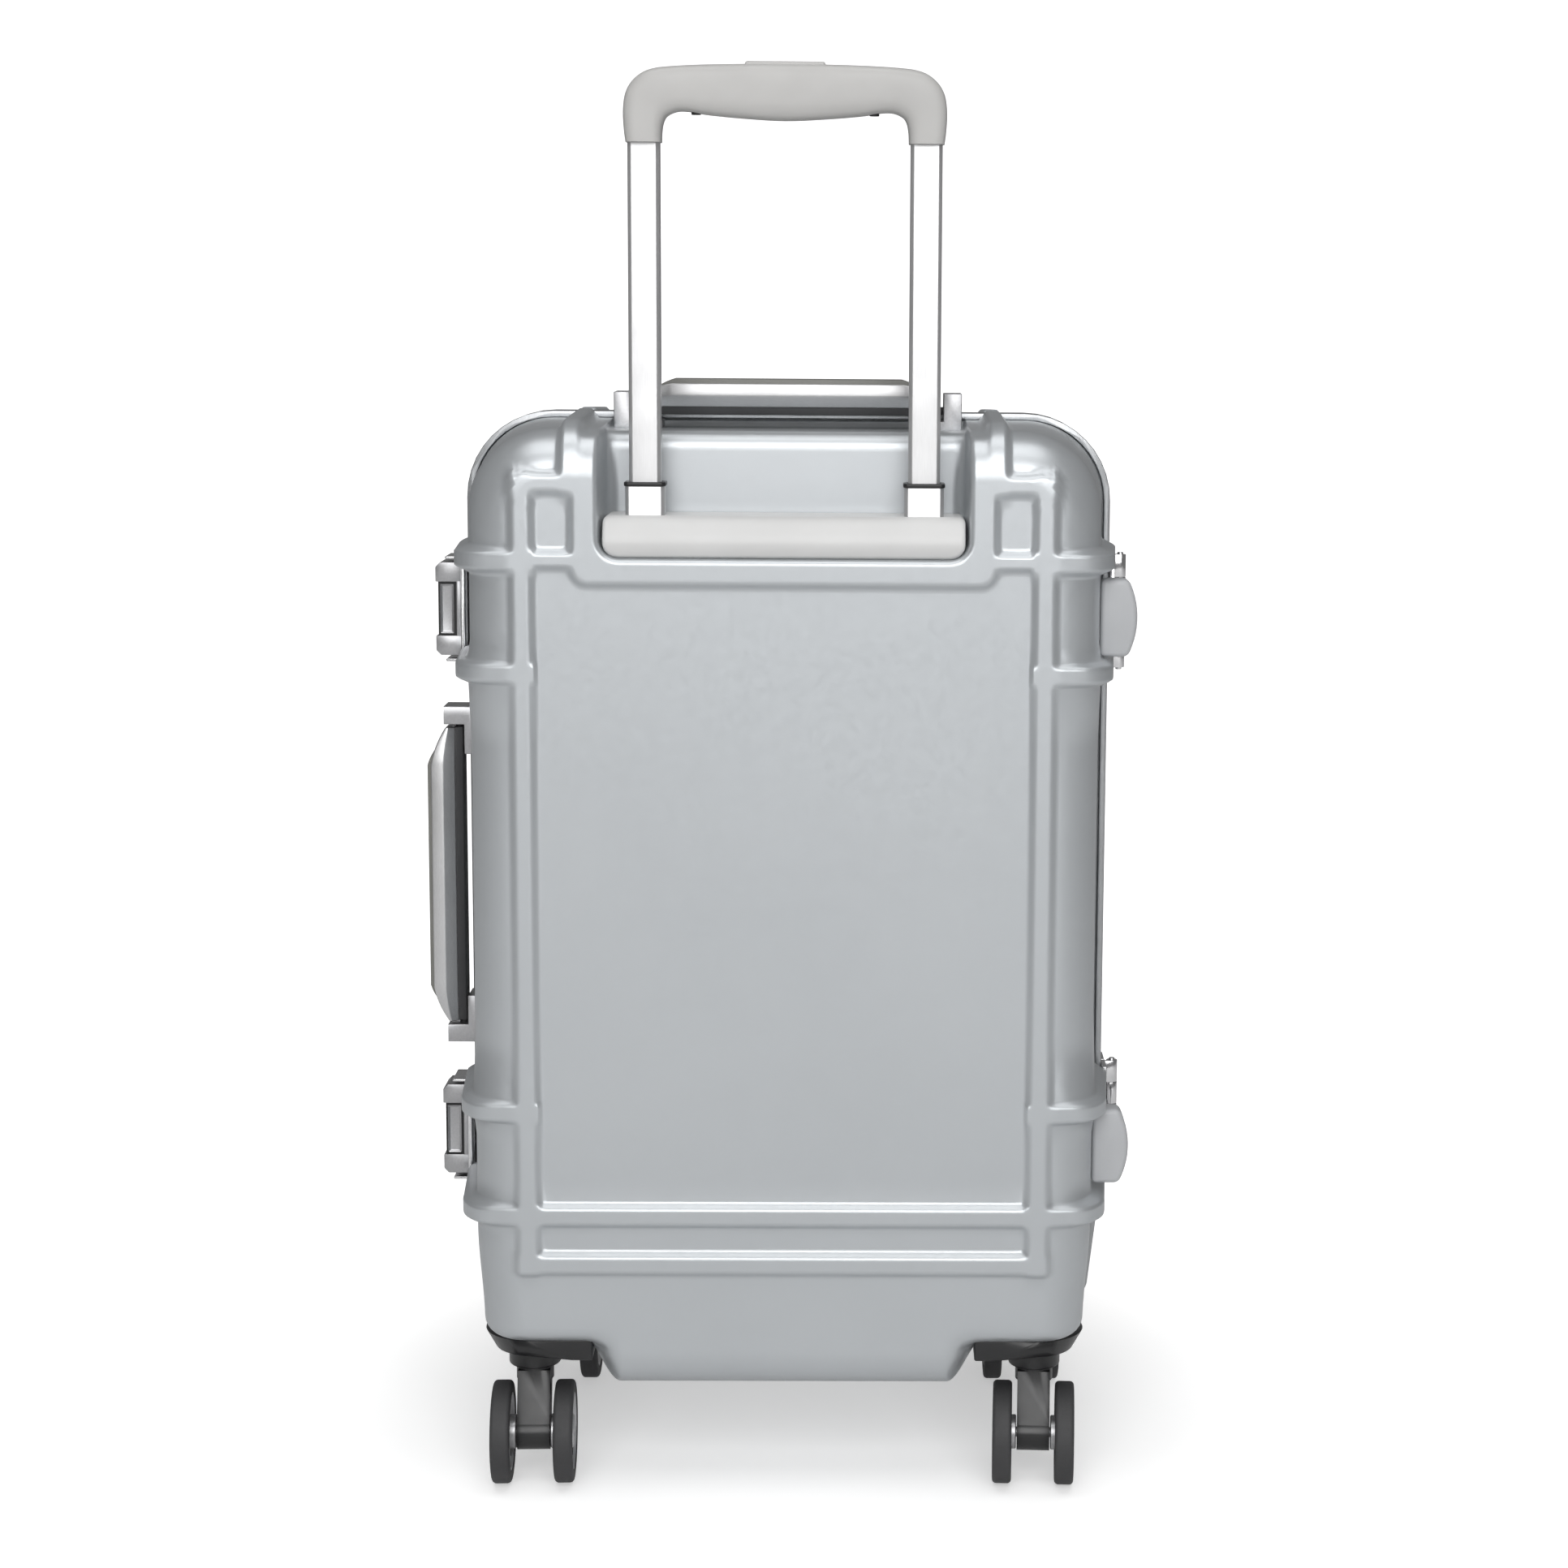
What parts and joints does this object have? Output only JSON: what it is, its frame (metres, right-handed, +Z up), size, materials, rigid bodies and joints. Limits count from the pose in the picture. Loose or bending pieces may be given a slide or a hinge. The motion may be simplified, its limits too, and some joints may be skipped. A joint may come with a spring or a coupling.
{
  "type": "hard shell suitcase",
  "caption": "Cabin-size hard shell suitcase that rolls on swivelling twin-wheel casters, with a pull-out trolley handle, framed opening, latches and carry handles.",
  "frame": {"origin": "on the floor, under the middle of the closure plane", "axes": "+Z up, +Y towards the plain front half (the trolley side faces -Y), +X towards the hinge side"},
  "size_m": [0.3526, 0.202, 0.7012],
  "materials": {
    "shell": "satin moulded polycarbonate",
    "frame": "satin anodised extrusion",
    "seal": "matt",
    "light_plastic": "fine matt",
    "grip_plastic": "fine matt",
    "tube": "satin anodised",
    "black_plastic": "fine texture",
    "steel": "brushed",
    "bright_steel": "polished",
    "handle_metal": "brushed",
    "soft_pad": "soft matt",
    "foot_plastic": "satin",
    "lining": "woven",
    "webbing": "woven webbing",
    "caster_plastic": "satin",
    "hub_metal": "satin silver",
    "tyre_rubber": "matt"
  },
  "bodies": {
    "back_half": {"back_shell": "shell", "back_frame": "frame", "frame_gasket": "seal", "trolley_housing": "light_plastic", "outer_tubes": "tube", "tube_fittings": "black_plastic", "handle_brackets": "handle_metal", "latch_plates": "steel", "latch_bodies": "handle_metal", "latch_pins": "bright_steel", "hinge_leaves_back": "steel", "hinge_pins": "bright_steel", "side_feet": "foot_plastic", "back_liner": "lining", "packing_straps": "webbing", "caster_housings_back": "caster_plastic"},
    "front_half": {"front_shell": "shell", "front_frame": "frame", "latch_keepers": "steel", "hinge_leaves_front": "steel", "front_divider": "lining", "caster_housings_front": "caster_plastic"},
    "trolley": {"inner_tubes": "tube", "tube_plugs": "black_plastic", "trolley_grip": "grip_plastic", "grip_screws": "black_plastic"},
    "release": {"release_button": "grip_plastic", "release_rods": "steel"},
    "left_pin": {"lock_pin_left": "steel"},
    "right_pin": {"lock_pin_right": "steel"},
    "top_handle": {"top_handle_bar": "handle_metal", "top_handle_pad": "soft_pad"},
    "side_handle": {"side_handle_bar": "handle_metal", "side_handle_pad": "soft_pad"},
    "upper_latch": {"latch_lever_upper": "handle_metal"},
    "lower_latch": {"latch_lever_lower": "handle_metal"},
    "caster_back_left": {"fork_back_left": "caster_plastic", "axle_back_left": "steel"},
    "wheel_back_left_outer": {"hub_back_left_outer": "hub_metal", "tyre_back_left_outer": "tyre_rubber"},
    "wheel_back_left_inner": {"hub_back_left_inner": "hub_metal", "tyre_back_left_inner": "tyre_rubber"},
    "caster_back_right": {"fork_back_right": "caster_plastic", "axle_back_right": "steel"},
    "wheel_back_right_outer": {"hub_back_right_outer": "hub_metal", "tyre_back_right_outer": "tyre_rubber"},
    "wheel_back_right_inner": {"hub_back_right_inner": "hub_metal", "tyre_back_right_inner": "tyre_rubber"},
    "caster_front_left": {"fork_front_left": "caster_plastic", "axle_front_left": "steel"},
    "wheel_front_left_outer": {"hub_front_left_outer": "hub_metal", "tyre_front_left_outer": "tyre_rubber"},
    "wheel_front_left_inner": {"hub_front_left_inner": "hub_metal", "tyre_front_left_inner": "tyre_rubber"},
    "caster_front_right": {"fork_front_right": "caster_plastic", "axle_front_right": "steel"},
    "wheel_front_right_outer": {"hub_front_right_outer": "hub_metal", "tyre_front_right_outer": "tyre_rubber"},
    "wheel_front_right_inner": {"hub_front_right_inner": "hub_metal", "tyre_front_right_inner": "tyre_rubber"}
  },
  "joints": [
    {"name": "case_opening", "type": "hinge", "parent": "back_half", "child": "front_half", "pos_m": [0.1683, 0, 0.3], "axis": [0, 0, -1], "range_deg": [0, 180]},
    {"name": "trolley_slide", "type": "slide", "parent": "back_half", "child": "trolley", "axis": [0, 0, 1], "range_m": [-0.157, 0.185]},
    {"name": "release_press", "type": "slide", "parent": "trolley", "child": "release", "axis": [0, 0, -1], "range_m": [0, 0.003], "stiffness_N_per_m": 600, "springref_m": -0.004},
    {"name": "left_pin_slide", "type": "slide", "parent": "trolley", "child": "left_pin", "axis": [1, 0, 0], "range_m": [0, 0.0015]},
    {"name": "right_pin_slide", "type": "slide", "parent": "trolley", "child": "right_pin", "axis": [-1, 0, 0], "range_m": [0, 0.0015]},
    {"name": "top_handle_pull", "type": "slide", "parent": "back_half", "child": "top_handle", "axis": [0, 0, 1], "range_m": [0, 0.007], "stiffness_N_per_m": 300, "springref_m": -0.004},
    {"name": "side_handle_pull", "type": "slide", "parent": "back_half", "child": "side_handle", "axis": [-1, 0, 0], "range_m": [0, 0.007], "stiffness_N_per_m": 300, "springref_m": -0.004},
    {"name": "upper_latch_lever", "type": "hinge", "parent": "back_half", "child": "upper_latch", "pos_m": [-0.1715, -0.013, 0.4355], "axis": [0, 0, 1], "range_deg": [0, 95]},
    {"name": "lower_latch_lever", "type": "hinge", "parent": "back_half", "child": "lower_latch", "pos_m": [-0.1715, -0.013, 0.1666], "axis": [0, 0, 1], "range_deg": [0, 95]},
    {"name": "swivel_back_left", "type": "hinge", "parent": "back_half", "child": "caster_back_left", "pos_m": [-0.1262, -0.063, 0.06], "axis": [0, 0, 1], "continuous": true},
    {"name": "spin_back_left_outer", "type": "hinge", "parent": "caster_back_left", "child": "wheel_back_left_outer", "pos_m": [-0.12578, -0.07499, 0.0255], "axis": [0.9994, 0.0349, 0], "continuous": true},
    {"name": "spin_back_left_inner", "type": "hinge", "parent": "caster_back_left", "child": "wheel_back_left_inner", "pos_m": [-0.12578, -0.07499, 0.0255], "axis": [0.9994, 0.0349, 0], "continuous": true},
    {"name": "swivel_back_right", "type": "hinge", "parent": "back_half", "child": "caster_back_right", "pos_m": [0.1262, -0.063, 0.06], "axis": [0, 0, 1], "continuous": true},
    {"name": "spin_back_right_outer", "type": "hinge", "parent": "caster_back_right", "child": "wheel_back_right_outer", "pos_m": [0.12557, -0.07498, 0.0255], "axis": [0.9986, -0.0523, 0], "continuous": true},
    {"name": "spin_back_right_inner", "type": "hinge", "parent": "caster_back_right", "child": "wheel_back_right_inner", "pos_m": [0.12557, -0.07498, 0.0255], "axis": [0.9986, -0.0523, 0], "continuous": true},
    {"name": "swivel_front_left", "type": "hinge", "parent": "front_half", "child": "caster_front_left", "pos_m": [-0.1262, 0.063, 0.06], "axis": [0, 0, 1], "continuous": true},
    {"name": "spin_front_left_outer", "type": "hinge", "parent": "caster_front_left", "child": "wheel_front_left_outer", "pos_m": [-0.1262, 0.075, 0.0255], "axis": [1, 0, 0], "continuous": true},
    {"name": "spin_front_left_inner", "type": "hinge", "parent": "caster_front_left", "child": "wheel_front_left_inner", "pos_m": [-0.1262, 0.075, 0.0255], "axis": [1, 0, 0], "continuous": true},
    {"name": "swivel_front_right", "type": "hinge", "parent": "front_half", "child": "caster_front_right", "pos_m": [0.1262, 0.063, 0.06], "axis": [0, 0, 1], "continuous": true},
    {"name": "spin_front_right_outer", "type": "hinge", "parent": "caster_front_right", "child": "wheel_front_right_outer", "pos_m": [0.1262, 0.075, 0.0255], "axis": [1, 0, 0], "continuous": true},
    {"name": "spin_front_right_inner", "type": "hinge", "parent": "caster_front_right", "child": "wheel_front_right_inner", "pos_m": [0.1262, 0.075, 0.0255], "axis": [1, 0, 0], "continuous": true}
  ],
  "couplings": [
    {"joint": "left_pin_slide", "follows": "release_press", "ratio": 0.5},
    {"joint": "right_pin_slide", "follows": "release_press", "ratio": 0.5}
  ]
}
